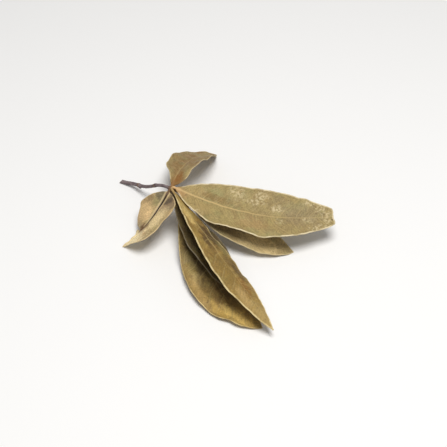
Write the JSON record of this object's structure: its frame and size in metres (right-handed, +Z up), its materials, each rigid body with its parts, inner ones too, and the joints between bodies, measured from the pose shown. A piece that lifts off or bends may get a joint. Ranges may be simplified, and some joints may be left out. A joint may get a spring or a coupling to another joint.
{
  "type": "bay leaf branch",
  "caption": "Dried bay sprig: pointed, waved leaves fan out from the knotted tip of a short slanting twig and rest on their tips.",
  "frame": {"origin": "bottom centre of the sprig's bounding box, on the surface that it lies on", "axes": "+Z up; +X to the right, along the broad top leaf; +Y to the back, along the sprig's longest extent"},
  "size_m": [0.1088, 0.1266, 0.0219],
  "materials": {
    "twig_bark": "matt dark bark, finely wrinkled",
    "leaf_right_top": "matt grey-olive dried leaf with pale dusty patches",
    "leaf_right_lower": "matt olive-brown dried leaf",
    "leaf_front_top": "satin golden-olive dried leaf with a pale rim",
    "leaf_front_middle": "matt deep olive dried leaf",
    "leaf_front_lower": "satin golden-brown dried leaf with a pale rim",
    "leaf_left_folded": "matt tan dried leaf with a dark crease",
    "leaf_back": "matt tan-olive dried leaf"
  },
  "bodies": {
    "root": {"twig": "twig_bark", "leaf_right_top": "leaf_right_top", "leaf_right_lower": "leaf_right_lower", "leaf_front_top": "leaf_front_top", "leaf_front_middle": "leaf_front_middle", "leaf_front_lower": "leaf_front_lower", "leaf_left_folded": "leaf_left_folded", "leaf_back": "leaf_back"}
  },
  "joints": []
}
